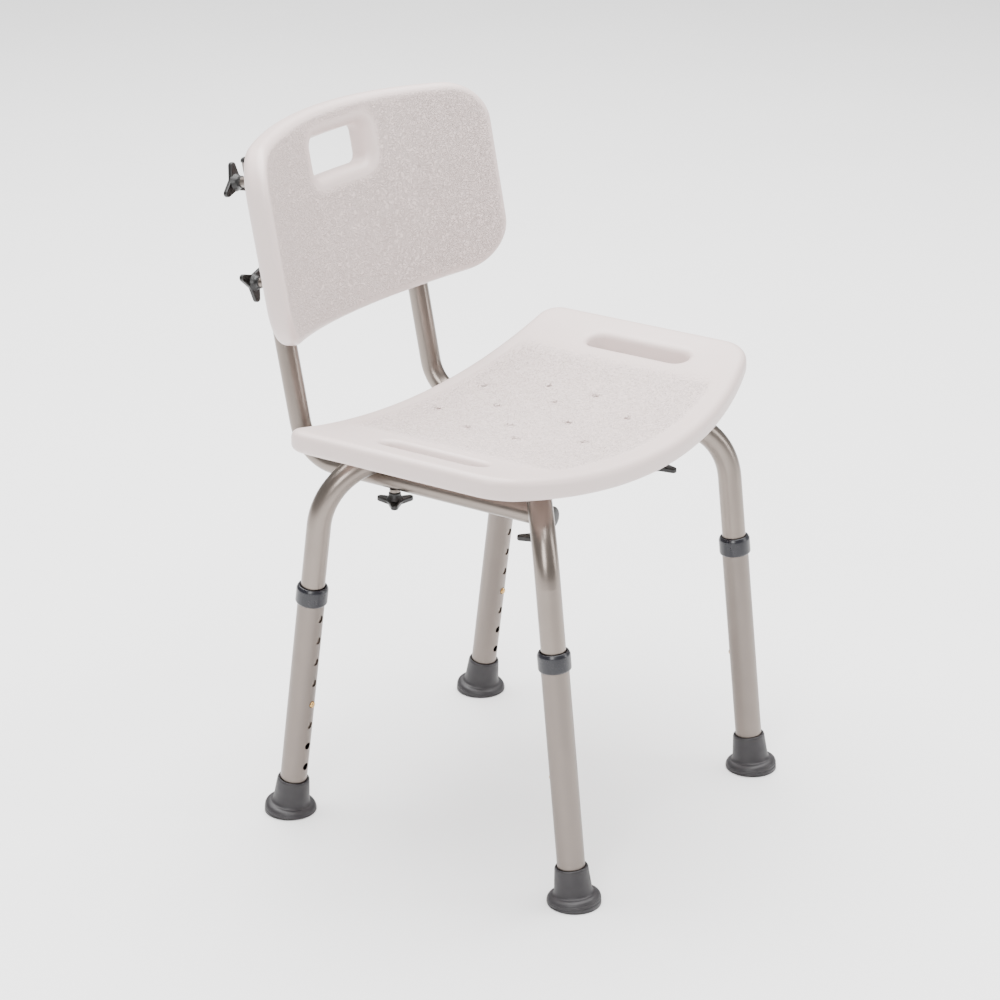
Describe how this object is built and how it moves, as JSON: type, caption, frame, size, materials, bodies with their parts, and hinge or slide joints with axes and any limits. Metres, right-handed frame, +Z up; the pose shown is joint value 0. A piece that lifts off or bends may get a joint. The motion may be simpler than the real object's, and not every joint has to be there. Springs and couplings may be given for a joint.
{
  "type": "shower chair",
  "caption": "Shower chair with a dished plastic seat and curved backrest on a crossed tube frame, with height-adjustable legs locked by spring buttons and flared rubber feet.",
  "frame": {"origin": "on the floor, under the centre of the chair's bounding box", "axes": "+Z up, -Y to the front of the chair, +X to the left hand of someone sitting in it"},
  "size_m": [0.488, 0.494, 0.7258],
  "materials": {
    "seat_plastic": "satin, fine pebble grain",
    "back_plastic": "satin, fine pebble grain",
    "frame_tube": "satin anodised",
    "leg_tube": "satin anodised",
    "collar_plastic": "glossy",
    "foot_rubber": "matt",
    "button_brass": "polished",
    "small_steel": "plated",
    "knob_plastic": "semi matt",
    "cap_plastic": "semi matt"
  },
  "bodies": {
    "frame": {"seat_panel": "seat_plastic", "backrest_panel": "back_plastic", "leg_frame_high": "frame_tube", "leg_frame_low": "frame_tube", "cross_rivet": "small_steel", "back_tube_left": "frame_tube", "back_tube_right": "frame_tube", "front_cap_left": "cap_plastic", "front_cap_right": "cap_plastic", "top_cap_left": "cap_plastic", "top_cap_right": "cap_plastic", "seat_knob_washers": "small_steel", "back_knob_washers": "small_steel", "seat_inserts": "button_brass", "backrest_inserts": "button_brass", "button_spring_rear_left": "small_steel", "button_spring_rear_right": "small_steel", "button_spring_front_left": "small_steel", "button_spring_front_right": "small_steel"},
    "leg_rear_left": {"leg_tube_rear_left": "leg_tube", "leg_collar_rear_left": "collar_plastic", "foot_rear_left": "foot_rubber"},
    "button_rear_left": {"leg_button_rear_left": "button_brass"},
    "leg_rear_right": {"leg_tube_rear_right": "leg_tube", "leg_collar_rear_right": "collar_plastic", "foot_rear_right": "foot_rubber"},
    "button_rear_right": {"leg_button_rear_right": "button_brass"},
    "leg_front_left": {"leg_tube_front_left": "leg_tube", "leg_collar_front_left": "collar_plastic", "foot_front_left": "foot_rubber"},
    "button_front_left": {"leg_button_front_left": "button_brass"},
    "leg_front_right": {"leg_tube_front_right": "leg_tube", "leg_collar_front_right": "collar_plastic", "foot_front_right": "foot_rubber"},
    "button_front_right": {"leg_button_front_right": "button_brass"},
    "seat_knob_rear_left": {"seat_knob_rear_left": "knob_plastic", "seat_stud_rear_left": "small_steel"},
    "seat_knob_rear_right": {"seat_knob_rear_right": "knob_plastic", "seat_stud_rear_right": "small_steel"},
    "seat_knob_front_left": {"seat_knob_front_left": "knob_plastic", "seat_stud_front_left": "small_steel"},
    "seat_knob_front_right": {"seat_knob_front_right": "knob_plastic", "seat_stud_front_right": "small_steel"},
    "back_knob_left_upper": {"back_knob_left_upper": "knob_plastic", "back_stud_left_upper": "small_steel"},
    "back_knob_left_lower": {"back_knob_left_lower": "knob_plastic", "back_stud_left_lower": "small_steel"},
    "back_knob_right_upper": {"back_knob_right_upper": "knob_plastic", "back_stud_right_upper": "small_steel"},
    "back_knob_right_lower": {"back_knob_right_lower": "knob_plastic", "back_stud_right_lower": "small_steel"}
  },
  "joints": [
    {"name": "leg_height_rear_left", "type": "slide", "parent": "frame", "child": "leg_rear_left", "axis": [0.0104, -0.1322, 0.9912], "range_m": [-0.1016, 0.0508]},
    {"name": "button_press_rear_left", "type": "slide", "parent": "frame", "child": "button_rear_left", "axis": [0.0014, 0.9912, 0.1322], "range_m": [0, 0.005], "stiffness_N_per_m": 400, "springref_m": -0.006, "deforming": ["button_spring_rear_left"]},
    {"name": "leg_height_rear_right", "type": "slide", "parent": "frame", "child": "leg_rear_right", "axis": [-0.0104, -0.1322, 0.9912], "range_m": [-0.1016, 0.0508]},
    {"name": "button_press_rear_right", "type": "slide", "parent": "frame", "child": "button_rear_right", "axis": [-0.0014, 0.9912, 0.1322], "range_m": [0, 0.005], "stiffness_N_per_m": 400, "springref_m": -0.006, "deforming": ["button_spring_rear_right"]},
    {"name": "leg_height_front_left", "type": "slide", "parent": "frame", "child": "leg_front_left", "axis": [0.0104, 0.1063, 0.9943], "range_m": [-0.1016, 0.0508]},
    {"name": "button_press_front_left", "type": "slide", "parent": "frame", "child": "button_front_left", "axis": [0.0011, -0.9943, 0.1063], "range_m": [0, 0.005], "stiffness_N_per_m": 400, "springref_m": -0.006, "deforming": ["button_spring_front_left"]},
    {"name": "leg_height_front_right", "type": "slide", "parent": "frame", "child": "leg_front_right", "axis": [-0.0104, 0.1063, 0.9943], "range_m": [-0.1016, 0.0508]},
    {"name": "button_press_front_right", "type": "slide", "parent": "frame", "child": "button_front_right", "axis": [-0.0011, -0.9943, 0.1063], "range_m": [0, 0.005], "stiffness_N_per_m": 400, "springref_m": -0.006, "deforming": ["button_spring_front_right"]},
    {"name": "seat_knob_turn_rear_left", "type": "hinge", "parent": "frame", "child": "seat_knob_rear_left", "pos_m": [-0.118, 0.04139, 0.3534], "axis": [0, 0, 1], "continuous": true},
    {"name": "seat_knob_turn_front_right", "type": "hinge", "parent": "frame", "child": "seat_knob_front_right", "pos_m": [0.118, -0.13414, 0.3534], "axis": [0, 0, 1], "continuous": true},
    {"name": "seat_knob_turn_front_left", "type": "hinge", "parent": "frame", "child": "seat_knob_front_left", "pos_m": [-0.118, -0.13414, 0.3534], "axis": [0, 0, 1], "continuous": true},
    {"name": "seat_knob_turn_rear_right", "type": "hinge", "parent": "frame", "child": "seat_knob_rear_right", "pos_m": [0.118, 0.04139, 0.3534], "axis": [0, 0, 1], "continuous": true},
    {"name": "back_knob_turn_left_upper", "type": "hinge", "parent": "frame", "child": "back_knob_left_upper", "pos_m": [-0.118, 0.19816, 0.6718], "axis": [0, -0.9816, 0.1908], "continuous": true},
    {"name": "back_knob_turn_left_lower", "type": "hinge", "parent": "frame", "child": "back_knob_left_lower", "pos_m": [-0.118, 0.17795, 0.56784], "axis": [0, -0.9816, 0.1908], "continuous": true},
    {"name": "back_knob_turn_right_upper", "type": "hinge", "parent": "frame", "child": "back_knob_right_upper", "pos_m": [0.118, 0.19816, 0.6718], "axis": [0, -0.9816, 0.1908], "continuous": true},
    {"name": "back_knob_turn_right_lower", "type": "hinge", "parent": "frame", "child": "back_knob_right_lower", "pos_m": [0.118, 0.17795, 0.56784], "axis": [0, -0.9816, 0.1908], "continuous": true}
  ]
}
